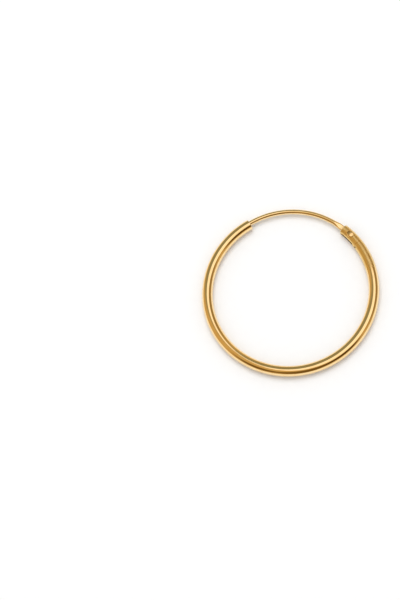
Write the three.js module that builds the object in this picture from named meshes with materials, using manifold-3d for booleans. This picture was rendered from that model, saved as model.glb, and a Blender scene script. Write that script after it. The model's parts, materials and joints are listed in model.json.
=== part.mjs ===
// Hoop earring with a hinged ear wire, lying flat on its side.
// Millimetres, +Z up. The hoop's axis is the Z axis, it rests on z = 0, and its opening faces +Y.

import * as THREE from "three";
import { mergeVertices } from "three/addons/utils/BufferGeometryUtils.js";
import Module from "manifold-3d";

const wasm = await Module();
wasm.setup();

// Hoop: a round tube bent to part of a circle
const hoopOuterDiameter = 25;
const tubeDiameter = 1.5;
const tubeWall = 0.18;
const openingAngle = THREE.MathUtils.degToRad(69);

// Ear wire: it leaves the hinge, bows a little outside the tube's midline and ends in the mouth
const wireDiameter = 0.7;
const wireCrest = 0.21;
const mouthClearance = 0.07;
const swingClearance = 0.03;

// The wire's hinge end, hammered flat, with a round eye for the rivet
const eyeDiameter = 1.28;
const neckWidth = 0.83;
const neckLength = 1.9;
const neckTaper = 1.2;

// Fork: the tube's solid end, slotted across so that the eye turns between two cheeks
const rivetSetback = 1.43;
const slotWidth = 0.5;
const slotClearance = 0.04;
const slotBackRoom = 0.53;
const forkWeb = 0.48;

// Rivet, with a low domed head sunk in each cheek
const rivetDiameter = 0.5;
const rivetHeadDiameter = 0.86;
const rivetHeadEdge = 0.08;
const rivetHeadRecess = 0.01;
const headRing = 0.07;
const headSeatGap = 0.02;
const cheekClearance = 0.02;
const eyeClearance = 0.04;

// Solder seam between the fork and the hollow tube, with a small vent beside it, tilted up a little
const seamWidth = 0.09;
const seamDepth = 0.05;
const ventDiameter = 0.3;
const ventInset = 0.24;
const ventTilt = THREE.MathUtils.degToRad(20);

// How finely round shapes are divided
const tubeSides = 24;
const boreSides = 16;
const wireSides = 12;
const smallSides = 24;
const hoopSteps = 72;
const wireSteps = 44;
const swingSteps = 240;
const domeSteps = 5;
const swingRows = 8;

// Wire left past the mouth before its tip is cut
const tipStock = 1.1;

// How far a cutting shape runs past what it cuts
const overrun = 0.5;

// Sizes that follow from the ones above
const tubeRadius = tubeDiameter / 2;
const boreRadius = tubeRadius - tubeWall;
const wireRadius = wireDiameter / 2;
const midRadius = hoopOuterDiameter / 2 - tubeRadius;
const midHeight = tubeRadius;
const hingeEndAngle = (Math.PI - openingAngle) / 2;
const mouthAngle = (Math.PI + openingAngle) / 2;
const fullTurn = 2 * Math.PI;

const eyeRadius = eyeDiameter / 2;
const eyeThickness = slotWidth - 2 * slotClearance;
const slotDepth = rivetSetback + eyeRadius + slotBackRoom;
const seamSetback = slotDepth + forkWeb;
const ventSetback = seamSetback + ventInset;
const headPocketRadius = rivetHeadDiameter / 2 + headRing;
const headSeatHeight = Math.sqrt(tubeRadius ** 2 - headPocketRadius ** 2);

// A point in the hoop's plane, at an angle and a distance from the hoop's axis
function planePoint(angle, distance) {
  return new THREE.Vector2(Math.cos(angle), Math.sin(angle)).multiplyScalar(distance);
}

// The angle at which a place on the tube's midline lies, counted back from the hinge end
function angleBehindHingeEnd(setback) {
  return hingeEndAngle - setback / midRadius;
}

const rivetAngle = angleBehindHingeEnd(rivetSetback);
const rivetPoint = planePoint(rivetAngle, midRadius);

function circleThrough(a, b, c) {
  const twiceArea = 2 * (a.x * (b.y - c.y) + b.x * (c.y - a.y) + c.x * (a.y - b.y));
  const x = a.lengthSq() * (b.y - c.y) + b.lengthSq() * (c.y - a.y) + c.lengthSq() * (a.y - b.y);
  const y = a.lengthSq() * (c.x - b.x) + b.lengthSq() * (a.x - c.x) + c.lengthSq() * (b.x - a.x);
  const centre = new THREE.Vector2(x, y).divideScalar(twiceArea);
  return { centre, radius: centre.distanceTo(a) };
}

// The wire's midline is one arc: over the rivet, over the crest, and into the mouth's outer side
const mouthPoint = planePoint(mouthAngle, midRadius + boreRadius - wireRadius - mouthClearance);
const crestPoint = planePoint(Math.PI / 2, midRadius + wireCrest);
const wireArc = circleThrough(rivetPoint, crestPoint, mouthPoint);

function solidOf(geometry) {
  geometry.deleteAttribute("normal");
  geometry.deleteAttribute("uv");
  const merged = mergeVertices(geometry);
  const vertProperties = new Float32Array(merged.attributes.position.array);
  const triVerts = new Uint32Array(merged.index.array);
  return new wasm.Manifold(new wasm.Mesh({ numProp: 3, vertProperties, triVerts }));
}

function geometryOf(solid) {
  const { vertProperties, triVerts } = solid.getMesh();
  const geometry = new THREE.BufferGeometry();
  geometry.setAttribute("position", new THREE.BufferAttribute(new Float32Array(vertProperties), 3));
  geometry.setIndex(new THREE.BufferAttribute(new Uint32Array(triVerts), 1));
  return geometry.toNonIndexed();
}

// A straight bar bent round an arc, with flat sides facing up and down.
// sectionAt says, for an angle along the arc, how wide the bar is drawn out and how far it is flattened.
function bentBar({ centre, arcRadius, from, to, barRadius, sides, steps, sectionAt }) {
  const bar = new THREE.CylinderGeometry(barRadius, barRadius, 1, sides, steps, false, Math.PI / sides);
  const places = bar.attributes.position;
  for (let i = 0; i < places.count; i += 1) {
    const angle = THREE.MathUtils.lerp(from, to, places.getY(i) + 0.5);
    const section = sectionAt(angle);
    const reach = arcRadius + places.getX(i) * section.widening;
    const height = THREE.MathUtils.clamp(places.getZ(i), -section.halfThickness, section.halfThickness);
    places.setXYZ(i, centre.x + reach * Math.cos(angle), centre.y + reach * Math.sin(angle), midHeight + height);
  }
  return solidOf(bar);
}

// A polygon whose flats, not corners, lie at the radius asked for
function cornerRadius(flatRadius, sides) {
  return flatRadius / Math.cos(Math.PI / sides);
}

function upright(radius, low, high, point) {
  const drum = new THREE.CylinderGeometry(radius, radius, high - low, smallSides);
  drum.rotateX(Math.PI / 2);
  drum.translate(point.x, point.y, midHeight + (low + high) / 2);
  return solidOf(drum);
}

// Turns a shape made along +X, +Y, +Z into the tube's outward, along and up directions at an angle
function setOnTube(geometry, angle) {
  const place = planePoint(angle, midRadius);
  geometry.rotateZ(angle);
  geometry.translate(place.x, place.y, midHeight);
  return solidOf(geometry);
}

function hollowTube() {
  const plain = { widening: 1, halfThickness: tubeRadius };
  const stepAngle = (fullTurn - openingAngle) / hoopSteps;
  const outside = bentBar({
    centre: new THREE.Vector2(0, 0),
    arcRadius: midRadius,
    from: mouthAngle,
    to: hingeEndAngle + fullTurn,
    barRadius: cornerRadius(tubeRadius, tubeSides),
    sides: tubeSides,
    steps: hoopSteps,
    sectionAt: () => plain,
  });
  const boreEnd = angleBehindHingeEnd(seamSetback) + fullTurn;
  const boreStart = mouthAngle - overrun / midRadius;
  const bore = bentBar({
    centre: new THREE.Vector2(0, 0),
    arcRadius: midRadius,
    from: boreStart,
    to: boreEnd,
    barRadius: cornerRadius(boreRadius, boreSides),
    sides: boreSides,
    steps: Math.round((boreEnd - boreStart) / stepAngle),
    sectionAt: () => plain,
  });
  return outside.subtract(bore);
}

function forkSlot() {
  const length = slotDepth + overrun;
  const slot = new THREE.BoxGeometry(2 * (tubeRadius + overrun), length, slotWidth);
  slot.translate(0, length / 2 - eyeRadius - slotBackRoom, 0);
  return setOnTube(slot, rivetAngle);
}

// A round pocket in each cheek for the rivet's heads, and the hole between them
function rivetCuts() {
  const topPocket = upright(headPocketRadius, headSeatHeight, tubeRadius + overrun, rivetPoint);
  const lowPocket = upright(headPocketRadius, -tubeRadius - overrun, -headSeatHeight, rivetPoint);
  const holeRadius = cornerRadius(rivetDiameter / 2 + cheekClearance, smallSides);
  const hole = upright(holeRadius, -tubeRadius, tubeRadius, rivetPoint);
  return topPocket.add(lowPocket).add(hole);
}

function seamGroove() {
  const bottom = cornerRadius(tubeRadius - seamDepth, tubeSides);
  const outer = tubeRadius + overrun;
  const profile = [
    new THREE.Vector2(bottom, -seamWidth / 2),
    new THREE.Vector2(outer, -seamWidth / 2),
    new THREE.Vector2(outer, seamWidth / 2),
    new THREE.Vector2(bottom, seamWidth / 2),
    new THREE.Vector2(bottom, -seamWidth / 2),
  ];
  const ring = new THREE.LatheGeometry(profile, tubeSides, Math.PI / tubeSides);
  return setOnTube(ring, angleBehindHingeEnd(seamSetback));
}

function ventHole() {
  const length = tubeWall + overrun;
  const drill = new THREE.CylinderGeometry(ventDiameter / 2, ventDiameter / 2, length, wireSides);
  drill.rotateZ(Math.PI / 2);
  drill.translate(-boreRadius - length / 2 + tubeWall / 2, 0, 0);
  drill.rotateY(ventTilt);
  return setOnTube(drill, angleBehindHingeEnd(ventSetback));
}

function hoopTube() {
  return hollowTube()
    .subtract(forkSlot())
    .subtract(rivetCuts())
    .subtract(seamGroove())
    .subtract(ventHole());
}

// Flat beside the rivet and round from the end of the taper on
function wireSection(angle) {
  const startAngle = rivetPoint.clone().sub(wireArc.centre).angle();
  const distance = (angle - startAngle) * wireArc.radius;
  const roundness = THREE.MathUtils.smoothstep(distance, neckLength, neckLength + neckTaper);
  return {
    widening: THREE.MathUtils.lerp(neckWidth / wireDiameter, 1, roundness),
    halfThickness: THREE.MathUtils.lerp(eyeThickness / 2, wireRadius, roundness),
  };
}

// What the mouth's rim sweeps as it turns round the rivet. The wire's tip is cut off just clear of it,
// so that the wire leaves the mouth without bending.
function rimSweep() {
  const inner = [];
  for (let row = 0; row <= swingRows; row += 1) {
    const height = THREE.MathUtils.lerp(wireRadius, -wireRadius, row / swingRows);
    const rimPoint = planePoint(mouthAngle, midRadius + Math.sqrt(boreRadius ** 2 - height ** 2));
    inner.push(new THREE.Vector2(rimPoint.distanceTo(rivetPoint) - swingClearance, height));
  }
  const outerReach = inner[0].x + tipStock + overrun;
  const outer = [
    new THREE.Vector2(inner[0].x, -wireRadius),
    new THREE.Vector2(outerReach, -wireRadius),
    new THREE.Vector2(outerReach, wireRadius),
  ];
  const sweep = new THREE.LatheGeometry([...outer, ...inner], swingSteps);
  sweep.rotateX(Math.PI / 2);
  sweep.translate(rivetPoint.x, rivetPoint.y, midHeight);
  return solidOf(sweep);
}

function earWire() {
  const startAngle = rivetPoint.clone().sub(wireArc.centre).angle();
  const mouthArcAngle = mouthPoint.clone().sub(wireArc.centre).angle();
  const bar = bentBar({
    centre: wireArc.centre,
    arcRadius: wireArc.radius,
    from: startAngle,
    to: mouthArcAngle + tipStock / wireArc.radius,
    barRadius: wireRadius,
    sides: wireSides,
    steps: wireSteps,
    sectionAt: wireSection,
  });
  const eye = upright(eyeRadius, -eyeThickness / 2, eyeThickness / 2, rivetPoint);
  const holeRadius = cornerRadius(rivetDiameter / 2 + eyeClearance, smallSides);
  const hole = upright(holeRadius, -slotWidth, slotWidth, rivetPoint);
  return bar.subtract(rimSweep()).add(eye).subtract(hole);
}

// Half of the rivet's outline, from its lowest point up to the middle of the shank
function rivetHalfOutline() {
  const under = headSeatHeight + headSeatGap;
  const rim = under + rivetHeadEdge;
  const top = tubeRadius - rivetHeadRecess;
  const outline = [];
  for (let step = 0; step <= domeSteps; step += 1) {
    const share = step / domeSteps;
    const reach = (rivetHeadDiameter / 2) * Math.sin((share * Math.PI) / 2);
    outline.push(new THREE.Vector2(reach, -rim - (top - rim) * Math.cos((share * Math.PI) / 2)));
  }
  outline.push(new THREE.Vector2(rivetHeadDiameter / 2, -under));
  outline.push(new THREE.Vector2(rivetDiameter / 2, -under));
  return outline;
}

function rivet() {
  const lower = rivetHalfOutline();
  const upper = lower.map((point) => new THREE.Vector2(point.x, -point.y)).reverse();
  const turned = new THREE.LatheGeometry([...lower, ...upper], smallSides);
  turned.rotateX(Math.PI / 2);
  turned.translate(rivetPoint.x, rivetPoint.y, midHeight);
  return solidOf(turned);
}

const gold = new THREE.MeshStandardMaterial({ color: 0xd9a441, roughness: 0.18, metalness: 1 });
const paleGold = new THREE.MeshStandardMaterial({ color: 0xdfb45c, roughness: 0.22, metalness: 1 });
const rivetGold = new THREE.MeshStandardMaterial({ color: 0xc8913a, roughness: 0.3, metalness: 1 });

function piece(name, solid, material) {
  const mesh = new THREE.Mesh(geometryOf(solid), material);
  mesh.name = name;
  return mesh;
}

const earring = new THREE.Group();
earring.add(piece("hoop_tube", hoopTube(), gold));
earring.add(piece("ear_wire", earWire(), paleGold));
earring.add(piece("hinge_rivet", rivet(), rivetGold));

export default earring;
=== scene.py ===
# %% [markdown]
# # A polished gold hoop earring with a hinged wire
#
# The earring is three pieces of metal: a hollow round tube bent to most of a circle, a thin wire
# that closes the circle, and a rivet that the wire turns on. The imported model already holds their
# true sizes as plain faceted solids. This notebook dresses that frame: it models each piece again
# with smooth curves in exactly the same place, gives it a gold finish, and lights it like a small
# object on a pale table.
#
# The frame has to be loaded first, because every size below is taken from it.

import json
import math

import bmesh
import bpy
from mathutils import Matrix, Vector

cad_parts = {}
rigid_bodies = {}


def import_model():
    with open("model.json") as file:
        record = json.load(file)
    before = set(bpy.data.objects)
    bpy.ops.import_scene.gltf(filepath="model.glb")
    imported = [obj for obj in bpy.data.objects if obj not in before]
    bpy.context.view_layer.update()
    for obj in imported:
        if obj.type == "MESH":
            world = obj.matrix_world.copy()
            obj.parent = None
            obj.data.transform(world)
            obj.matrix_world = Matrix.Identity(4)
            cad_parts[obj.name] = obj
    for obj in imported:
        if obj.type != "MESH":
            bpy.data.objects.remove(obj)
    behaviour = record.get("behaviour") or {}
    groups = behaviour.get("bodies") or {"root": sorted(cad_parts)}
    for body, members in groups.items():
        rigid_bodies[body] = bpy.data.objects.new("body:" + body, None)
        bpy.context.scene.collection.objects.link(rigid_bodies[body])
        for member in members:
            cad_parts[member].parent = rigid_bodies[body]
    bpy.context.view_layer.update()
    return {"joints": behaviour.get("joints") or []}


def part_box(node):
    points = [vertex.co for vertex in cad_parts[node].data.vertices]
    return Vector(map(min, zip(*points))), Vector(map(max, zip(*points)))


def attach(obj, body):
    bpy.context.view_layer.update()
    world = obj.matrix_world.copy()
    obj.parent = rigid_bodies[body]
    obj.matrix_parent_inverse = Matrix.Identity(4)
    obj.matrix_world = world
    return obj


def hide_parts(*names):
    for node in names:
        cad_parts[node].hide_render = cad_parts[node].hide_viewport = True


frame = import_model()

# %% [markdown]
# ## Sizes
#
# Blender works in metres, and a jeweller thinks in millimetres, so MM turns one into the other.
# The hoop, the tube and the place of the rivet come from the frame. Only what the faceted solids
# can't say exactly, such as the wire's round thickness, is written as a number. A size that one
# piece alone needs stands beside that piece, further down.

# %% Sizes taken from the frame
MM = 0.001
UP = Vector((0, 0, 1))

tube_low, tube_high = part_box("hoop_tube")
TUBE_RADIUS = (tube_high.z - tube_low.z) / 2
MID_HEIGHT = (tube_high.z + tube_low.z) / 2
MID_RADIUS = -tube_low.y - TUBE_RADIUS
hinge = next(joint for joint in frame["joints"] if joint["name"] == "wire_hinge")
RIVET = Vector(hinge["pos_m"])
print("tube", round(2 * TUBE_RADIUS / MM, 3), "mm thick, midline radius", round(MID_RADIUS / MM, 3), "mm")

# %% Sizes that several pieces share
OPENING = math.radians(69)
TUBE_WALL = 0.18 * MM
SLOT_WIDTH = 0.5 * MM
EYE_RADIUS = 0.64 * MM
RIVET_RADIUS = 0.25 * MM
RIVET_HEAD_RADIUS = 0.43 * MM

BORE_RADIUS = TUBE_RADIUS - TUBE_WALL
MOUTH_ANGLE = (math.pi + OPENING) / 2
HINGE_END_ANGLE = (math.pi - OPENING) / 2 + 2 * math.pi
print("the tube spans", round(math.degrees(HINGE_END_ANGLE - MOUTH_ANGLE)), "degrees of the circle")

# %% [markdown]
# ## The camera
#
# The camera comes before the pieces, so that every later look is through the right eye. The hoop
# lies on the table and is seen from 70.3 degrees above it, a little turned, which makes its circle
# a slightly flat oval. A long lens keeps the oval even. The camera stands straight over that line
# of sight and is aimed beside the hoop, because the hoop sits right of the middle of the picture.

# %% Camera
PICTURE_WIDTH = 400
PICTURE_HEIGHT = 600
HOOP_CENTRE_PIXEL = Vector((290.3, 291.3))
HOOP_WIDTH_PIXELS = 177.6
PIXELS_PER_METRE = HOOP_WIDTH_PIXELS / (2 * (MID_RADIUS + TUBE_RADIUS))
VIEW_ELEVATION = math.radians(70.3)
VIEW_TURN = math.radians(19.5)
VIEW_ROLL = math.radians(15.1)
LENS = 135
SENSOR = 36


def add_camera():
    data = bpy.data.cameras.new("camera")
    data.lens = LENS
    data.sensor_width = SENSOR
    data.clip_start = 0.01
    data.clip_end = 50
    camera = bpy.data.objects.new("camera", data)
    bpy.context.scene.collection.objects.link(camera)
    bpy.context.scene.camera = camera

    hoop_centre = Vector((0, 0, MID_HEIGHT))
    away = Matrix.Rotation(VIEW_TURN, 3, "Z") @ Vector((0, 1, 0))
    to_camera = UP * math.sin(VIEW_ELEVATION) - away * math.cos(VIEW_ELEVATION)
    distance = LENS / SENSOR * PICTURE_HEIGHT / PIXELS_PER_METRE

    level_right = away.cross(UP)
    level_up = to_camera.cross(level_right)
    right = level_right * math.cos(VIEW_ROLL) - level_up * math.sin(VIEW_ROLL)
    up = level_up * math.cos(VIEW_ROLL) + level_right * math.sin(VIEW_ROLL)
    offset = HOOP_CENTRE_PIXEL - Vector((PICTURE_WIDTH, PICTURE_HEIGHT)) / 2
    aim = hoop_centre + (up * offset.y - right * offset.x) / PIXELS_PER_METRE

    place = hoop_centre + to_camera * distance
    back = (place - aim).normalized()
    side = up.cross(back).normalized()
    turn = Matrix((side, back.cross(side), back)).transposed().to_4x4()
    camera.matrix_world = Matrix.Translation(place) @ turn
    return camera, away, level_right


camera, AWAY, RIGHT = add_camera()
print("camera stands", round((camera.location - Vector((0, 0, MID_HEIGHT))).length / MM), "mm from the hoop")

# %% [markdown]
# ## Small helpers
#
# A round bar bent to a curve is always made the same way: a ring of points is set upright across
# the curve, and the ring is spun round the curve's centre. A ring that is extruded in place and
# scaled about its own middle rounds an edge, cuts a groove or closes an end. These helpers hold
# those moves, each one call to a bmesh operator or two.

# %% Helpers for rings


def section_at(angle, centre, arc_radius):
    """The place of a section across an arc: local x points outward, y up and z back along the arc."""
    outward = Vector((math.cos(angle), math.sin(angle), 0))
    middle = Vector((centre.x, centre.y, MID_HEIGHT)) + outward * arc_radius
    turn = Matrix((outward, UP, outward.cross(UP))).transposed().to_4x4()
    return Matrix.Translation(middle) @ turn


def edges_of(geometry):
    return [item for item in geometry if isinstance(item, bmesh.types.BMEdge)]


def points_of(geometry):
    return [item for item in geometry if isinstance(item, bmesh.types.BMVert)]


def start_ring(mesh, section, radius, sides):
    made = bmesh.ops.create_circle(mesh, cap_ends=False, radius=radius, segments=sides, matrix=section)
    return list({edge for point in made["verts"] for edge in point.link_edges})


def spin_ring(mesh, ring, centre, angle, steps):
    points = list({point for edge in ring for point in edge.verts})
    turned = bmesh.ops.spin(
        mesh, geom=points + ring, cent=centre, axis=UP, dvec=(0, 0, 0), angle=angle,
        steps=steps, use_merge=False, use_normal_flip=False, use_duplicate=False,
    )
    return edges_of(turned["geom_last"])


def step_ring(mesh, ring, section, factor, shift):
    """Extrudes a ring in place, then scales it about its middle and slides it along the arc."""
    made = bmesh.ops.extrude_edge_only(mesh, edges=ring)["geom"]
    points = points_of(made)
    bmesh.ops.scale(mesh, vec=(factor, factor, 1), space=section.inverted(), verts=points)
    bmesh.ops.translate(mesh, vec=(0, 0, shift), space=section.inverted(), verts=points)
    return edges_of(made)


def round_over(mesh, ring, section, radius, corner, towards, rows):
    """Rounds a ring's corner inward by a quarter turn, and returns the last ring and its radius."""
    last = radius
    slid = 0
    for row in range(1, rows + 1):
        turn = math.pi / 2 * row / rows
        new = radius - corner * (1 - math.cos(turn))
        reach = corner * math.sin(turn)
        ring = step_ring(mesh, ring, section, new / last, towards * (reach - slid))
        last, slid = new, reach
    return ring, last


# %% [markdown]
# A cut, such as the fork's slot, is a plain block or drum taken away from a finished shape. The
# Boolean modifier does it, and its result is baked into the mesh at once, so that nothing live is
# left on the piece. Sharp edges are then marked by their angle, which keeps a cut face flat while
# the round tube beside it stays smooth.

# %% Helpers for cuts and finished pieces
SHARP_ANGLE = math.radians(32)
MERGE_DISTANCE = 1e-7
DRUM_SIDES = 96


def make_object(mesh, name):
    bmesh.ops.remove_doubles(mesh, verts=mesh.verts, dist=MERGE_DISTANCE)
    bmesh.ops.recalc_face_normals(mesh, faces=mesh.faces)
    data = bpy.data.meshes.new(name)
    mesh.to_mesh(data)
    mesh.free()
    piece = bpy.data.objects.new(name, data)
    bpy.context.scene.collection.objects.link(piece)
    return piece


def drum(name, radius, low, high):
    mesh = bmesh.new()
    place = Matrix.Translation((RIVET.x, RIVET.y, MID_HEIGHT + (low + high) / 2))
    bmesh.ops.create_cone(
        mesh, cap_ends=True, cap_tris=False, segments=DRUM_SIDES, radius1=radius, radius2=radius,
        depth=high - low, matrix=place,
    )
    return make_object(mesh, name)


def combine(piece, other, operation):
    """Joins another closed shape to a piece, or cuts it away, and removes the other shape."""
    modifier = piece.modifiers.new("combine", "BOOLEAN")
    modifier.object = other
    modifier.operation = operation
    modifier.solver = "EXACT"
    view = bpy.context.evaluated_depsgraph_get()
    result = bpy.data.meshes.new_from_object(piece.evaluated_get(view))
    piece.modifiers.clear()
    old = piece.data
    piece.data = result
    bpy.data.meshes.remove(old)
    bpy.data.objects.remove(other)


def finish_piece(piece, node, body, material):
    piece.data.name = piece.name
    piece.data.shade_smooth()
    piece.data.set_sharp_from_angle(angle=SHARP_ANGLE)
    piece.data.materials.clear()
    piece.data.materials.append(material)
    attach(piece, body)
    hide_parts(node)
    sizes = [round(length / MM, 2) for length in piece.dimensions]
    print(piece.name, "has", len(piece.data.polygons), "faces and measures", sizes, "mm")


# %% [markdown]
# ## Polished gold
#
# Gold plate has hardly any colour of its own apart from what it mirrors, so its base colour is only
# the tint of its mirror: full red, three quarters green, under half blue. Real polish is never
# perfect. Fine lines run along a drawn tube, the buff leaves a faint haze, and edges that rub against
# skin and cloth wear pale. The narrow gaps and the bore get painted shade, a dark colour where little
# light gets in. Each of these is a small node group with its own inputs, shared by all three golds.
#
# The first group turns an object's own coordinates into the directions of a bent bar: along it,
# outward and up. The patterns can then be stretched along the bar, as drawing lines are. An unrolled
# length along the hoop would jump where the angle wraps round, and leave a seam. So the patterns use
# the point in the plane of the hoop with its outward distance, and the height as a fourth
# coordinate. The length along the hoop serves only to say where the two ends are.

# %% Node group: directions on the hoop


def new_group(name, inputs, outputs):
    group = bpy.data.node_groups.new(name, "ShaderNodeTree")
    for label, kind, value in inputs:
        socket = group.interface.new_socket(name=label, in_out="INPUT", socket_type=kind)
        if value is not None:
            socket.default_value = value
    for label, kind in outputs:
        group.interface.new_socket(name=label, in_out="OUTPUT", socket_type=kind)
    return group, group.nodes.new("NodeGroupInput"), group.nodes.new("NodeGroupOutput")


def feed(tree, value, socket):
    """Links a value that varies to a socket, or writes a fixed one on it."""
    if isinstance(value, bpy.types.NodeSocket):
        tree.links.new(value, socket)
    else:
        socket.default_value = value


def add_math(tree, operation, first, second=None):
    node = tree.nodes.new("ShaderNodeMath")
    node.operation = operation
    feed(tree, first, node.inputs[0])
    if second is not None:
        feed(tree, second, node.inputs[1])
    return node.outputs[0]


def length_of(tree, x, y):
    squares = add_math(tree, "ADD", add_math(tree, "POWER", x, 2), add_math(tree, "POWER", y, 2))
    return add_math(tree, "SQRT", squares)


def remap(tree, value, low, high, new_low=0.0, new_high=1.0):
    node = tree.nodes.new("ShaderNodeMapRange")
    node.interpolation_type = "SMOOTHSTEP"
    numbers = {"Value": value, "From Min": low, "From Max": high, "To Min": new_low, "To Max": new_high}
    for label, number in numbers.items():
        feed(tree, number, node.inputs[label])
    return node.outputs["Result"]


def use_group(tree, group, **values):
    node = tree.nodes.new("ShaderNodeGroup")
    node.node_tree = group
    for label, value in values.items():
        feed(tree, value, node.inputs[label.replace("_", " ")])
    return node


def make_direction_group():
    group, entry, end = new_group(
        "hoop_directions",
        [("Object point", "NodeSocketVector", None)],
        [
            ("Ring point", "NodeSocketVector"),
            ("Along", "NodeSocketFloat"),
            ("Outward", "NodeSocketFloat"),
            ("Up", "NodeSocketFloat"),
        ],
    )
    split = group.nodes.new("ShaderNodeSeparateXYZ")
    group.links.new(entry.outputs["Object point"], split.inputs[0])
    x, y, z = split.outputs
    outward = add_math(group, "SUBTRACT", length_of(group, x, y), MID_RADIUS)
    join = group.nodes.new("ShaderNodeCombineXYZ")
    for value, axis in ((x, "X"), (y, "Y"), (outward, "Z")):
        group.links.new(value, join.inputs[axis])
    along = add_math(group, "MULTIPLY", add_math(group, "ARCTAN2", y, x), MID_RADIUS)
    group.links.new(join.outputs[0], end.inputs["Ring point"])
    group.links.new(along, end.inputs["Along"])
    group.links.new(outward, end.inputs["Outward"])
    group.links.new(add_math(group, "SUBTRACT", z, MID_HEIGHT), end.inputs["Up"])
    return group


direction_group = make_direction_group()
print("node group", direction_group.name, "ready")

# %% Node group: drawing lines, haze, pits and a soft unevenness
PER_MM = 1 / MM
LINE_HAZE = 0.05
PIT_DEPTH = 0.6


def noise_node(tree, point, stretch, detail, roughness):
    mapping = tree.nodes.new("ShaderNodeMapping")
    mapping.inputs["Scale"].default_value = stretch
    tree.links.new(point, mapping.inputs["Vector"])
    node = tree.nodes.new("ShaderNodeTexNoise")
    node.inputs["Scale"].default_value = PER_MM
    node.inputs["Detail"].default_value = detail
    node.inputs["Roughness"].default_value = roughness
    tree.links.new(mapping.outputs[0], node.inputs["Vector"])
    return node


def noise(tree, point, cells, detail, roughness=0.5):
    """A noise pattern with so many cells per millimetre in every direction."""
    return noise_node(tree, point, (cells, cells, cells), detail, roughness).outputs[0]


def bar_noise(tree, directions, along, across, detail, roughness=0.5):
    """A noise pattern with its own number of cells per millimetre along and across the bar."""
    point = directions.outputs["Ring point"]
    node = noise_node(tree, point, (along, along, across), detail, roughness)
    node.noise_dimensions = "4D"
    tree.links.new(add_math(tree, "MULTIPLY", directions.outputs["Up"], across), node.inputs["W"])
    return node.outputs[0]


def make_polish_group():
    group, entry, end = new_group(
        "jewellers_polish",
        [
            ("Object point", "NodeSocketVector", None),
            ("Buffed roughness", "NodeSocketFloat", 0.07),
            ("Hazy roughness", "NodeSocketFloat", 0.2),
            ("Line depth", "NodeSocketFloat", 0.4),
            ("Unevenness", "NodeSocketFloat", 20.0),
        ],
        [("Roughness", "NodeSocketFloat"), ("Height", "NodeSocketFloat"), ("Haze", "NodeSocketFloat")],
    )
    point = entry.outputs["Object point"]
    directions = use_group(group, direction_group, Object_point=point)
    lines = bar_noise(group, directions, along=0.25, across=9, detail=4, roughness=0.6)
    swell = bar_noise(group, directions, along=0.22, across=0.35, detail=0)
    haze = remap(group, noise(group, point, cells=0.9, detail=3), 0.42, 0.68)
    pits = remap(group, noise(group, point, cells=14, detail=2), 0.66, 0.78, 0.0, -PIT_DEPTH)

    soft = remap(group, haze, 0.0, 1.0, entry.outputs["Buffed roughness"], entry.outputs["Hazy roughness"])
    scratch = add_math(group, "MULTIPLY", add_math(group, "SUBTRACT", lines, 0.5), LINE_HAZE)
    group.links.new(add_math(group, "ADD", soft, scratch), end.inputs["Roughness"])

    grooves = add_math(group, "MULTIPLY", lines, entry.outputs["Line depth"])
    waves = add_math(group, "MULTIPLY", swell, entry.outputs["Unevenness"])
    height = add_math(group, "ADD", add_math(group, "ADD", grooves, pits), waves)
    group.links.new(height, end.inputs["Height"])
    group.links.new(haze, end.inputs["Haze"])
    return group


polish_group = make_polish_group()
print("node group", polish_group.name, "ready")

# %% [markdown]
# Wear and painted shade depend on where on the earring a point lies. Edges are worn at the two ends
# of the tube. Painted shade darkens the fork's slot and the inside of the hollow tube, where little
# light gets in. These places are easy to name by their distance along the hoop, from the rivet or
# from the tube's midline, so no texture has to be painted.

# %% Node group: pale worn edges, and painted shade in the gaps
WORN_REACH = 0.3 * MM
# Reaches of the painted shade, the dark colour put in the fork's slot round the rivet.
SHADE_REACH = 1.3 * MM
SHADE_FULL_REACH = 0.85 * SHADE_REACH
SHADE_CREEP = 0.02 * MM
MOUTH_ALONG = MOUTH_ANGLE * MID_RADIUS
HINGE_ALONG = (HINGE_END_ANGLE - 2 * math.pi) * MID_RADIUS


def near(tree, value, place, reach):
    """A mask that is 1 at a place along the bar and fades to 0 at the reach."""
    gap = add_math(tree, "ABSOLUTE", add_math(tree, "SUBTRACT", value, place))
    return remap(tree, gap, 0.0, reach, 1.0, 0.0)


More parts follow.
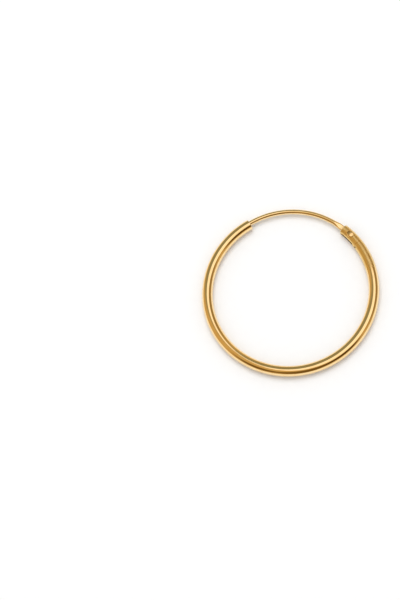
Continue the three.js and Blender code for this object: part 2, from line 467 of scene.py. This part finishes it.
def make_wear_and_shade_group():
    group, entry, end = new_group(
        "wear_and_painted_shade",
        [
            ("Object point", "NodeSocketVector", None),
            ("Slot film", "NodeSocketFloat", SLOT_WIDTH / 2),
            ("Bore film", "NodeSocketFloat", BORE_RADIUS),
        ],
        [("Wear", "NodeSocketFloat"), ("Painted shade", "NodeSocketFloat")],
    )
    point = entry.outputs["Object point"]
    directions = use_group(group, direction_group, Object_point=point)
    along = directions.outputs["Along"]
    mouth_end = near(group, along, MOUTH_ALONG, WORN_REACH)
    hinge_end = near(group, along, HINGE_ALONG, WORN_REACH)
    ends = add_math(group, "MAXIMUM", mouth_end, hinge_end)
    spots = noise(group, point, cells=3, detail=3, roughness=0.6)
    patches = remap(group, spots, 0.38, 0.62, 0.25, 1.0)
    group.links.new(add_math(group, "MULTIPLY", ends, patches), end.inputs["Wear"])

    # Painted shade in the fork's slot: near the rivet and within the slot's width.
    offset = group.nodes.new("ShaderNodeVectorMath")
    offset.operation = "SUBTRACT"
    group.links.new(point, offset.inputs[0])
    offset.inputs[1].default_value = RIVET
    split = group.nodes.new("ShaderNodeSeparateXYZ")
    group.links.new(offset.outputs[0], split.inputs[0])
    x, y, z = split.outputs
    close = remap(group, length_of(group, x, y), SHADE_FULL_REACH, SHADE_REACH, 1.0, 0.0)
    depth = add_math(group, "SUBTRACT", entry.outputs["Slot film"], add_math(group, "ABSOLUTE", z))
    in_slot = add_math(group, "MULTIPLY", close, remap(group, depth, -SHADE_CREEP, 0.0))

    # Painted shade inside the bore, within the tube's wall.
    from_midline = length_of(group, directions.outputs["Outward"], directions.outputs["Up"])
    depth = add_math(group, "SUBTRACT", entry.outputs["Bore film"], from_midline)
    in_bore = remap(group, depth, -SHADE_CREEP, 0.0)
    group.links.new(add_math(group, "MAXIMUM", in_slot, in_bore), end.inputs["Painted shade"])
    return group


wear_and_shade_group = make_wear_and_shade_group()
print("node group", wear_and_shade_group.name, "ready")

# %% [markdown]
# ## The three gold finishes
#
# Tube, wire and rivet are plated alike but worked differently. The tube is buffed the smoothest,
# except at its hinge end, where the solder was filed and only brushed over. The drawn wire keeps
# more of its lines, and the rivet's hammered heads are the haziest and a shade deeper. The base
# colour wanders between two neighbouring golds, where the plate is a little thicker or thinner.

# %% Gold materials
BUMP_DISTANCE = 0.001 * MM
WORN_COLOUR = (1.0, 0.82, 0.56)
# Painted shade: a dark base colour and more roughness in the slot and the bore, where little light gets in.
PAINTED_SHADE_COLOUR = (0.09, 0.045, 0.015)
SHADE_ROUGHNESS = 0.4


def mix_colour(tree, mask, first, second):
    node = tree.nodes.new("ShaderNodeMix")
    node.data_type = "RGBA"
    feed(tree, mask, node.inputs["Factor"])
    feed(tree, first, node.inputs["A"])
    feed(tree, second, node.inputs["B"])
    return node.outputs["Result"]


def make_gold(name, pale, deep, buffed, hazy, lines, unevenness, slot_shade, bore_shade):
    material = bpy.data.materials.new(name)
    material.use_nodes = True
    tree = material.node_tree
    metal = tree.nodes["Principled BSDF"]
    metal.inputs["Metallic"].default_value = 1.0
    point = tree.nodes.new("ShaderNodeTexCoord").outputs["Object"]
    polish = use_group(
        tree, polish_group, Object_point=point, Buffed_roughness=buffed, Hazy_roughness=hazy,
        Line_depth=lines, Unevenness=unevenness,
    )
    wear_and_shade = use_group(tree, wear_and_shade_group, Object_point=point, Slot_film=slot_shade, Bore_film=bore_shade)

    plate = mix_colour(tree, polish.outputs["Haze"], (*pale, 1), (*deep, 1))
    worn = mix_colour(tree, wear_and_shade.outputs["Wear"], plate, (*WORN_COLOUR, 1))
    # The slot and the bore are darkened here: painted shade.
    colour = mix_colour(tree, wear_and_shade.outputs["Painted shade"], worn, (*PAINTED_SHADE_COLOUR, 1))
    tree.links.new(colour, metal.inputs["Base Color"])
    shade_roughening = add_math(tree, "MULTIPLY", wear_and_shade.outputs["Painted shade"], SHADE_ROUGHNESS)
    rough = add_math(tree, "ADD", polish.outputs["Roughness"], shade_roughening)
    tree.links.new(rough, metal.inputs["Roughness"])

    relief = tree.nodes.new("ShaderNodeBump")
    relief.inputs["Distance"].default_value = BUMP_DISTANCE
    tree.links.new(polish.outputs["Height"], relief.inputs["Height"])
    tree.links.new(relief.outputs["Normal"], metal.inputs["Normal"])
    return material, point, rough


tube_gold, tube_point, tube_rough = make_gold(
    "tube_gold", pale=(1.0, 0.75, 0.40), deep=(0.98, 0.71, 0.36), buffed=0.05, hazy=0.12,
    lines=0.5, unevenness=25.0, slot_shade=SLOT_WIDTH / 2, bore_shade=BORE_RADIUS,
)
wire_gold, _, _ = make_gold(
    "wire_gold", pale=(1.0, 0.76, 0.42), deep=(0.98, 0.73, 0.38), buffed=0.07, hazy=0.16,
    lines=1.2, unevenness=8.0, slot_shade=-SHADE_CREEP, bore_shade=-SHADE_CREEP,
)
rivet_gold, _, _ = make_gold(
    "rivet_gold", pale=(0.97, 0.70, 0.36), deep=(0.9, 0.62, 0.3), buffed=0.12, hazy=0.26,
    lines=0.8, unevenness=10.0, slot_shade=SLOT_WIDTH / 2, bore_shade=-SHADE_CREEP,
)

print("gold finishes:", tube_gold.name, wire_gold.name, rivet_gold.name)

# %% Brushed hinge end of the tube
BRUSHED_START = math.radians(14) * MID_RADIUS
BRUSHED_FULL = math.radians(24) * MID_RADIUS
BRUSHED_END = HINGE_ALONG + 0.2 * MM
BRUSHED_GONE = HINGE_ALONG + 0.3 * MM
BRUSHED_ROUGHNESS = 0.34
BRUSHED_SPREAD = 0.06
BRUSHED_TINT = (0.86, 0.82, 0.6)


def brush_hinge_end(material, point, polished):
    """Blends a coarser, streaked finish in over the last stretch before the hinge."""
    tree = material.node_tree
    directions = use_group(tree, direction_group, Object_point=point)
    along = directions.outputs["Along"]
    start = remap(tree, along, BRUSHED_START, BRUSHED_FULL)
    end = remap(tree, along, BRUSHED_END, BRUSHED_GONE, 1.0, 0.0)
    mask = add_math(tree, "MULTIPLY", start, end)
    streaks = bar_noise(tree, directions, along=0.35, across=5, detail=3, roughness=0.6)
    finest, coarsest = BRUSHED_ROUGHNESS - BRUSHED_SPREAD, BRUSHED_ROUGHNESS + BRUSHED_SPREAD
    coarse = remap(tree, streaks, 0.3, 0.7, finest, coarsest)
    rough = remap(tree, mask, 0.0, 1.0, polished, coarse)
    metal = tree.nodes["Principled BSDF"]
    tree.links.new(rough, metal.inputs["Roughness"])
    plate = metal.inputs["Base Color"].links[0].from_socket
    tone = add_math(tree, "MULTIPLY", mask, remap(tree, streaks, 0.25, 0.6, 1.0, 0.55))
    darker = tree.nodes.new("ShaderNodeMix")
    darker.data_type = "RGBA"
    darker.blend_type = "MULTIPLY"
    tree.links.new(tone, darker.inputs["Factor"])
    tree.links.new(plate, darker.inputs["A"])
    darker.inputs["B"].default_value = (*BRUSHED_TINT, 1)
    tree.links.new(darker.outputs["Result"], metal.inputs["Base Color"])


brush_hinge_end(tube_gold, tube_point, tube_rough)
print("brushed for the last", round((HINGE_ALONG - BRUSHED_START) / MM, 1), "mm before the hinge")

# %% [markdown]
# ## The hoop tube
#
# The real tube is drawn round and hollow, cut square at the mouth, and soldered at the other end to
# a short solid rod that is sawn into a fork. It could be a curve with a round bevel, but a curve
# gives no control of its ends. Here one ring of points does everything in a single pass: it starts
# at the mouth, is spun to the solder seam, dips into the seam's groove, runs on to the fork's end
# and closes there. A second ring goes back from the mouth into the bore. The slot, the pockets for
# the rivet's heads and the small vent are then cut out of the closed shape.

# %% Hoop tube: the round body
TUBE_SIDES = 72
STEPS_PER_TURN = 400
RIM_CORNER = 0.05 * MM
BORE_CORNER = 0.03 * MM
CORNER_ROWS = 4
CORNER_HOLD = 0.02 * MM
HOOP_CENTRE = Vector((0, 0, 0))

RIVET_SETBACK = 1.43 * MM
SLOT_BACK_ROOM = 0.53 * MM
FORK_WEB = 0.48 * MM
SEAM_SETBACK = RIVET_SETBACK + EYE_RADIUS + SLOT_BACK_ROOM + FORK_WEB
SEAM_WIDTH = 0.09 * MM
SEAM_DEPTH = 0.05 * MM
SEAM_WALL_SHARE = 0.3


def along_tube(length):
    """The angle round the hoop that a length of tube takes up."""
    return length / MID_RADIUS


def spin_tube(mesh, ring, start, end):
    """Spins a ring along the tube. A very short step at each end keeps the shading straight there."""
    hold = math.copysign(along_tube(CORNER_HOLD), end - start)
    rest = end - start - 2 * hold
    steps = round(abs(rest) / (2 * math.pi) * STEPS_PER_TURN)
    for angle, count in ((hold, 1), (rest, steps), (hold, 1)):
        ring = spin_ring(mesh, ring, HOOP_CENTRE, angle, count)
    return ring


def round_body():
    mesh = bmesh.new()
    mouth = section_at(MOUTH_ANGLE + along_tube(RIM_CORNER), HOOP_CENTRE, MID_RADIUS)
    first = start_ring(mesh, mouth, TUBE_RADIUS, TUBE_SIDES)

    seam_angle = HINGE_END_ANGLE - along_tube(SEAM_SETBACK)
    half_seam = along_tube(SEAM_WIDTH) / 2
    ring = spin_tube(mesh, first, MOUTH_ANGLE + along_tube(RIM_CORNER), seam_angle - half_seam)
    shrink = (TUBE_RADIUS - SEAM_DEPTH) / TUBE_RADIUS
    floor_share = 1 - 2 * SEAM_WALL_SHARE
    for share, factor in ((SEAM_WALL_SHARE, shrink), (floor_share, 1), (SEAM_WALL_SHARE, 1 / shrink)):
        ring = spin_ring(mesh, ring, HOOP_CENTRE, 2 * half_seam * share, 1)
        middle = section_at(seam_angle, HOOP_CENTRE, MID_RADIUS)
        points = list({point for edge in ring for point in edge.verts})
        bmesh.ops.scale(mesh, vec=(factor, factor, 1), space=middle.inverted(), verts=points)

    end_start = HINGE_END_ANGLE - along_tube(RIM_CORNER)
    ring = spin_tube(mesh, ring, seam_angle + half_seam, end_start)
    end = section_at(end_start, HOOP_CENTRE, MID_RADIUS)
    ring, _ = round_over(mesh, ring, end, TUBE_RADIUS, RIM_CORNER, -1, CORNER_ROWS)
    bmesh.ops.contextual_create(mesh, geom=ring)

    ring, radius = round_over(mesh, first, mouth, TUBE_RADIUS, RIM_CORNER, 1, CORNER_ROWS)
    ring = step_ring(mesh, ring, mouth, (BORE_RADIUS + BORE_CORNER) / radius, 0)
    radius = BORE_RADIUS + BORE_CORNER
    for row in range(1, CORNER_ROWS + 1):
        turn = math.pi / 2 * row / CORNER_ROWS
        new = BORE_RADIUS + BORE_CORNER * (1 - math.sin(turn))
        slide = BORE_CORNER * (math.cos(turn) - math.cos(turn - math.pi / 2 / CORNER_ROWS))
        ring = step_ring(mesh, ring, mouth, new / radius, slide)
        radius = new
    inside = MOUTH_ANGLE + along_tube(BORE_CORNER)
    ring = spin_tube(mesh, ring, inside, seam_angle)
    bmesh.ops.contextual_create(mesh, geom=ring)
    return make_object(mesh, "gold_tube")


tube = round_body()
print("tube body:", len(tube.data.polygons), "faces")

# %% Hoop tube: slot, rivet pockets and vent
HEAD_RING = 0.07 * MM
HEAD_POCKET_RADIUS = RIVET_HEAD_RADIUS + HEAD_RING
HEAD_SEAT_HEIGHT = math.sqrt(TUBE_RADIUS ** 2 - HEAD_POCKET_RADIUS ** 2)
CHEEK_CLEARANCE = 0.02 * MM
VENT_DIAMETER = 0.3 * MM
VENT_INSET = 0.24 * MM
VENT_TILT = math.radians(20)
VENT_SIDES = 32
CUT_OVERRUN = 0.5 * MM


def slot_block():
    length = RIVET_SETBACK + EYE_RADIUS + SLOT_BACK_ROOM + CUT_OVERRUN
    rivet_angle = math.atan2(RIVET.y, RIVET.x)
    turn = Matrix.Rotation(rivet_angle, 4, "Z")
    back = EYE_RADIUS + SLOT_BACK_ROOM
    place = Matrix.Translation(RIVET) @ turn @ Matrix.Translation((0, length / 2 - back, 0))
    size = Matrix.Diagonal((2 * (TUBE_RADIUS + CUT_OVERRUN), length, SLOT_WIDTH, 1))
    mesh = bmesh.new()
    bmesh.ops.create_cube(mesh, size=1, matrix=place @ size)
    return make_object(mesh, "slot_block")


def vent_drill():
    angle = HINGE_END_ANGLE - along_tube(SEAM_SETBACK + VENT_INSET)
    section = section_at(angle, HOOP_CENTRE, MID_RADIUS)
    depth = TUBE_WALL + CUT_OVERRUN
    tilt = Matrix.Rotation(-VENT_TILT, 4, "Z")
    place = section @ tilt @ Matrix.Translation((-BORE_RADIUS - depth / 2 + TUBE_WALL / 2, 0, 0))
    mesh = bmesh.new()
    bmesh.ops.create_cone(
        mesh, cap_ends=True, cap_tris=False, segments=VENT_SIDES, radius1=VENT_DIAMETER / 2,
        radius2=VENT_DIAMETER / 2, depth=depth, matrix=place @ Matrix.Rotation(math.pi / 2, 4, "Y"),
    )
    return make_object(mesh, "vent_drill")


combine(tube, slot_block(), "DIFFERENCE")
top = TUBE_RADIUS + CUT_OVERRUN
combine(tube, drum("top_pocket", HEAD_POCKET_RADIUS, HEAD_SEAT_HEIGHT, top), "DIFFERENCE")
combine(tube, drum("low_pocket", HEAD_POCKET_RADIUS, -top, -HEAD_SEAT_HEIGHT), "DIFFERENCE")
combine(tube, drum("rivet_hole", RIVET_RADIUS + CHEEK_CLEARANCE, -top, top), "DIFFERENCE")
combine(tube, vent_drill(), "DIFFERENCE")
finish_piece(tube, "hoop_tube", "hoop", tube_gold)

# %% [markdown]
# ## The ear wire
#
# The wire is drawn round and bowed on one arc, from the rivet, over a crest a little outside the
# tube's midline, into the outer side of the mouth. Its last two millimetres are hammered flat, which
# makes them thinner and wider, and end in a round eye. The way is the same as for the tube: a ring
# is spun along the arc. Then the points near the eye are pressed flat and spread, as a hammer does.

# %% Ear wire: the arc it follows
WIRE_RADIUS = 0.35 * MM
WIRE_CREST = 0.21 * MM
MOUTH_CLEARANCE = 0.07 * MM


def plane_point(angle, reach):
    return Vector((math.cos(angle), math.sin(angle), 0)) * reach


def circle_through(a, b, c):
    twice_area = 2 * (a.x * (b.y - c.y) + b.x * (c.y - a.y) + c.x * (a.y - b.y))
    aa, bb, cc = a.length_squared, b.length_squared, c.length_squared
    x = (aa * (b.y - c.y) + bb * (c.y - a.y) + cc * (a.y - b.y)) / twice_area
    y = (aa * (c.x - b.x) + bb * (a.x - c.x) + cc * (b.x - a.x)) / twice_area
    centre = Vector((x, y, 0))
    return centre, (centre - a).length


RIVET_PLAN = Vector((RIVET.x, RIVET.y, 0))
MOUTH_PLAN = plane_point(MOUTH_ANGLE, MID_RADIUS + BORE_RADIUS - WIRE_RADIUS - MOUTH_CLEARANCE)
CREST_PLAN = plane_point(math.pi / 2, MID_RADIUS + WIRE_CREST)
WIRE_CENTRE, WIRE_ARC_RADIUS = circle_through(RIVET_PLAN, CREST_PLAN, MOUTH_PLAN)


def wire_angle(point):
    offset = point - WIRE_CENTRE
    return math.atan2(offset.y, offset.x)


print("the wire's arc has a radius of", round(WIRE_ARC_RADIUS / MM, 2), "mm")

# %% Ear wire: spun, flattened, tipped and drilled
WIRE_SIDES = 48
WIRE_STEPS = 170
NECK_WIDTH = 0.83 * MM
NECK_LENGTH = 1.9 * MM
NECK_TAPER = 1.2 * MM
HAMMER_FIRMNESS = 1.7

SLOT_CLEARANCE = 0.04 * MM
EYE_THICKNESS = SLOT_WIDTH - 2 * SLOT_CLEARANCE
EYE_CLEARANCE = 0.04 * MM
EYE_CORNER = 0.05 * MM
EYE_CORNER_ROWS = 4

TIP_STOCK = 1.1 * MM
SWING_CLEARANCE = 0.03 * MM
SWEEP_ROWS = 10
SWEEP_STEPS = 360
SWEEP_OVERHANG = 1.02


def smooth_share(value, low, high):
    share = min(1, max(0, (value - low) / (high - low)))
    return share * share * (3 - 2 * share)


def pressed(height, half_thickness):
    """A height after the hammer: squeezed into the thickness, with flat faces and soft shoulders."""
    firmness = HAMMER_FIRMNESS / half_thickness
    return half_thickness * math.tanh(height * firmness) / math.tanh(WIRE_RADIUS * firmness)


def press_flat(mesh, start):
    """Presses the wire flat near the eye and spreads it sideways, and leaves the rest round."""
    for point in mesh.verts:
        plan = Vector((point.co.x, point.co.y, 0))
        distance = (wire_angle(plan) - start) * WIRE_ARC_RADIUS
        roundness = smooth_share(distance, NECK_LENGTH, NECK_LENGTH + NECK_TAPER)
        widening = 1 + (NECK_WIDTH / (2 * WIRE_RADIUS) - 1) * (1 - roundness)
        outward = (plan - WIRE_CENTRE).normalized()
        reach = (plan - WIRE_CENTRE).length - WIRE_ARC_RADIUS
        height = point.co.z - MID_HEIGHT
        height = pressed(height, EYE_THICKNESS / 2) * (1 - roundness) + height * roundness
        plan = WIRE_CENTRE + outward * (WIRE_ARC_RADIUS + reach * widening)
        point.co = Vector((plan.x, plan.y, MID_HEIGHT + height))


def bowed_wire():
    start = wire_angle(RIVET_PLAN)
    end = wire_angle(MOUTH_PLAN) + TIP_STOCK / WIRE_ARC_RADIUS
    mesh = bmesh.new()
    first = start_ring(mesh, section_at(start, WIRE_CENTRE, WIRE_ARC_RADIUS), WIRE_RADIUS, WIRE_SIDES)
    last = spin_ring(mesh, first, WIRE_CENTRE, end - start, WIRE_STEPS)
    bmesh.ops.contextual_create(mesh, geom=first)
    bmesh.ops.contextual_create(mesh, geom=last)
    press_flat(mesh, start)
    return make_object(mesh, "gold_wire")


def rim_sweep():
    """The space that the mouth's rim sweeps as it turns round the rivet, spun as one ring of metal."""
    inner = []
    for row in range(SWEEP_ROWS + 1):
        height = WIRE_RADIUS * (1 - 2 * row / SWEEP_ROWS) * SWEEP_OVERHANG
        rim = plane_point(MOUTH_ANGLE, MID_RADIUS + math.sqrt(BORE_RADIUS ** 2 - height ** 2))
        inner.append(((rim - RIVET_PLAN).length - SWING_CLEARANCE, height))
    outer = inner[0][0] + TIP_STOCK + CUT_OVERRUN
    outline = [(outer, inner[-1][1]), (outer, inner[0][1])] + inner
    mesh = bmesh.new()
    points = [mesh.verts.new(RIVET + Vector((-reach, 0, height))) for reach, height in outline]
    loop = [mesh.edges.new((points[i - 1], points[i])) for i in range(len(points))]
    bmesh.ops.spin(
        mesh, geom=points + loop, cent=RIVET, axis=UP, dvec=(0, 0, 0), angle=2 * math.pi,
        steps=SWEEP_STEPS, use_merge=True, use_normal_flip=False, use_duplicate=False,
    )
    return make_object(mesh, "rim_sweep")


def eye_disc():
    mesh = bmesh.new()
    place = Matrix.Translation((RIVET.x, RIVET.y, MID_HEIGHT))
    bmesh.ops.create_cone(
        mesh, cap_ends=True, cap_tris=False, segments=DRUM_SIDES, radius1=EYE_RADIUS,
        radius2=EYE_RADIUS, depth=EYE_THICKNESS, matrix=place,
    )
    rims = [edge for edge in mesh.edges if abs(edge.verts[0].co.z - edge.verts[1].co.z) < 1e-9]
    bmesh.ops.bevel(
        mesh, geom=rims, offset=EYE_CORNER, offset_type="OFFSET", affect="EDGES",
        segments=EYE_CORNER_ROWS, profile=0.5, material=-1, clamp_overlap=True,
    )
    return make_object(mesh, "eye_disc")


wire = bowed_wire()
combine(wire, rim_sweep(), "DIFFERENCE")
combine(wire, eye_disc(), "UNION")
eye_drill = drum("eye_drill", RIVET_RADIUS + EYE_CLEARANCE, -EYE_THICKNESS, EYE_THICKNESS)
combine(wire, eye_drill, "DIFFERENCE")
finish_piece(wire, "ear_wire", "wire", wire_gold)

# %% [markdown]
# ## The rivet
#
# A rivet is a turned shape: a shank with a low dome spread out at each end. Half of its outline is
# enough, because the other half mirrors it, and one full spin of the outline makes the solid. The
# points at the two poles are merged, so that no open fan is left there.

# %% Hinge rivet
RIVET_HEAD_EDGE = 0.08 * MM
RIVET_HEAD_RECESS = 0.01 * MM
HEAD_SEAT_GAP = 0.02 * MM
DOME_ROWS = 10
RIVET_STEPS = 72
EDGE_CORNER = 0.02 * MM


def rivet_half_outline():
    under = HEAD_SEAT_HEIGHT + HEAD_SEAT_GAP
    rim = under + RIVET_HEAD_EDGE
    crown = TUBE_RADIUS - RIVET_HEAD_RECESS
    outline = []
    for row in range(DOME_ROWS + 1):
        turn = math.pi / 2 * row / DOME_ROWS
        outline.append((RIVET_HEAD_RADIUS * math.sin(turn), -rim - (crown - rim) * math.cos(turn)))
    outline.append((RIVET_HEAD_RADIUS, -under - EDGE_CORNER))
    outline.append((RIVET_HEAD_RADIUS - EDGE_CORNER, -under))
    outline.append((RIVET_RADIUS, -under))
    return outline


def hinge_rivet():
    lower = rivet_half_outline()
    upper = [(reach, -height) for reach, height in reversed(lower)]
    mesh = bmesh.new()
    points = [mesh.verts.new(RIVET + Vector((reach, 0, height))) for reach, height in lower + upper]
    line = [mesh.edges.new(pair) for pair in zip(points, points[1:])]
    bmesh.ops.spin(
        mesh, geom=points + line, cent=RIVET, axis=UP, dvec=(0, 0, 0), angle=2 * math.pi,
        steps=RIVET_STEPS, use_merge=True, use_normal_flip=False, use_duplicate=False,
    )
    return make_object(mesh, "gold_rivet")


rivet = hinge_rivet()
finish_piece(rivet, "hinge_rivet", "hoop", rivet_gold)

# %% [markdown]
# ## The table
#
# A plain pale table top fills the picture. Matte board is not quite even, so a faint grain and a
# little roughness keep it from looking like paper-white nothing.

# %% Table top
TABLE_SIZE = 3.0


def make_table_material():
    material = bpy.data.materials.new("pale_board")
    material.use_nodes = True
    tree = material.node_tree
    board = tree.nodes["Principled BSDF"]
    board.inputs["Roughness"].default_value = 0.85
    board.inputs["Specular IOR Level"].default_value = 0.2
    place = tree.nodes.new("ShaderNodeTexCoord")
    grain = tree.nodes.new("ShaderNodeTexNoise")
    grain.inputs["Scale"].default_value = 900
    grain.inputs["Detail"].default_value = 3
    tree.links.new(place.outputs["Object"], grain.inputs["Vector"])
    tint = tree.nodes.new("ShaderNodeMix")
    tint.data_type = "RGBA"
    tint.inputs["A"].default_value = (0.91, 0.91, 0.91, 1)
    tint.inputs["B"].default_value = (0.94, 0.94, 0.935, 1)
    tree.links.new(grain.outputs[0], tint.inputs["Factor"])
    tree.links.new(tint.outputs["Result"], board.inputs["Base Color"])
    return material


def make_table():
    mesh = bmesh.new()
    bmesh.ops.create_grid(mesh, x_segments=1, y_segments=1, size=TABLE_SIZE / 2)
    table = make_object(mesh, "table_top")
    table.data.materials.append(make_table_material())
    return table


table = make_table()
print("table top", TABLE_SIZE, "m square")

# %% [markdown]
# ## The studio
#
# Polished metal shows its surroundings, so lighting it means choosing what it mirrors. Where a thing
# shows on a round bar follows from the mirror law. The crest of the bar mirrors what hangs overhead,
# so a softbox there draws one bright line round the whole hoop. The front of the bar mirrors the
# viewer's side of the room, and an unlit side there gives the dark band. It is darkest toward the
# right front, and fades toward the left. A plain grey wall behind cools the far edge, the right side
# is dim, and the rest is a warm room at a little over half light. How far each thing reaches and how
# bright it is was set with the render beside the photo.
#
# Each thing is a soft-edged round patch of direction, and a later row lies over an earlier one. A
# patch is found with a dot product: it is 1 in the middle and falls off with the angle.
#
# Only mirrored rays see that room. The table is lit by plain white light instead, most of it from
# all round and some from one large soft lamp nearly overhead. So the table stays neutral and almost
# white, and the hoop has only a faint soft shadow where it touches down.

# %% World: the room that the gold mirrors


def room_direction(zenith, azimuth):
    """A direction so many degrees from straight up, turned from the viewer's right."""
    tilt, turn = math.radians(zenith), math.radians(azimuth)
    level = RIGHT * math.cos(turn) + AWAY * math.sin(turn)
    return (UP * math.cos(tilt) + level * math.sin(tilt)).normalized()


def add_patch(tree, direction, below, towards, colour, inner, outer):
    """Mixes a soft-edged patch of colour over the room so far."""
    dot = tree.nodes.new("ShaderNodeVectorMath")
    dot.operation = "DOT_PRODUCT"
    tree.links.new(direction, dot.inputs[0])
    dot.inputs[1].default_value = towards
    edge, middle = math.cos(math.radians(outer)), math.cos(math.radians(inner))
    mask = remap(tree, dot.outputs["Value"], edge, middle)
    return mix_colour(tree, mask, below, (*colour, 1))


WARM = Vector((1.0, 0.7, 0.3))
BROWN = Vector((1.0, 0.6, 0.15))
GREY = Vector((1.0, 0.95, 0.6))
SOFT_WHITE = Vector((0.9, 0.82, 0.74))
ROOM_COLOUR = WARM * 0.6

# Columns: what it is, degrees from overhead, degrees round from the viewer's right, colour,
# degrees out to which it is full, degrees by which it is gone.
ROOM_THINGS = (
    ("grey wall behind", 52, 98, GREY * 0.28, 22, 44),
    ("dim right side", 58, 12, WARM * 0.32, 18, 38),
    ("dark left front", 56, 220, BROWN * 0.15, 5, 27),
    ("unlit viewer's side", 56, 265, BROWN * 0.16, 15, 32),
    ("darker right front", 56, 303, BROWN * 0.06, 10, 24),
    ("softbox overhead", 17, 10, SOFT_WHITE * 1.3, 22, 27),
)
FILL_LIGHT = 0.75
BACKDROP = 0.95


def make_room():
    world = bpy.data.worlds.new("soft_room")
    bpy.context.scene.world = world
    world.cycles.sampling_method = "NONE"
    world.use_nodes = True
    tree = world.node_tree
    tree.nodes.clear()
    direction = tree.nodes.new("ShaderNodeTexCoord").outputs["Generated"]
    room = (*ROOM_COLOUR, 1)
    for _, zenith, azimuth, colour, inner, outer in ROOM_THINGS:
        room = add_patch(tree, direction, room, room_direction(zenith, azimuth), colour, inner, outer)
    ray = tree.nodes.new("ShaderNodeLightPath")
    fill, backdrop = (FILL_LIGHT,) * 3 + (1,), (BACKDROP,) * 3 + (1,)
    white = mix_colour(tree, ray.outputs["Is Camera Ray"], fill, backdrop)
    background = tree.nodes.new("ShaderNodeBackground")
    tree.links.new(mix_colour(tree, ray.outputs["Is Glossy Ray"], white, room), background.inputs["Color"])
    output = tree.nodes.new("ShaderNodeOutputWorld")
    tree.links.new(background.outputs[0], output.inputs["Surface"])


make_room()
print("in the room:", ", ".join(thing[0] for thing in ROOM_THINGS))

# %% Table lamp and picture settings
LAMP_DISTANCE = 0.8
LAMP_SIZE = 0.6
LAMP_POWER = 2.8
LAMP_DIRECTION = room_direction(20, 85)


def add_table_lamp():
    data = bpy.data.lights.new("table_lamp", "AREA")
    data.shape = "DISK"
    data.size = LAMP_SIZE
    data.energy = LAMP_POWER
    lamp = bpy.data.objects.new("table_lamp", data)
    bpy.context.scene.collection.objects.link(lamp)
    lamp.location = LAMP_DIRECTION * LAMP_DISTANCE
    lamp.rotation_euler = LAMP_DIRECTION.to_track_quat("Z", "Y").to_euler()
    lamp.visible_glossy = False
    lamp.visible_camera = False


add_table_lamp()
bpy.context.scene.view_settings.view_transform = "Standard"
print("lamp", LAMP_SIZE, "m across,", LAMP_DISTANCE, "m away")
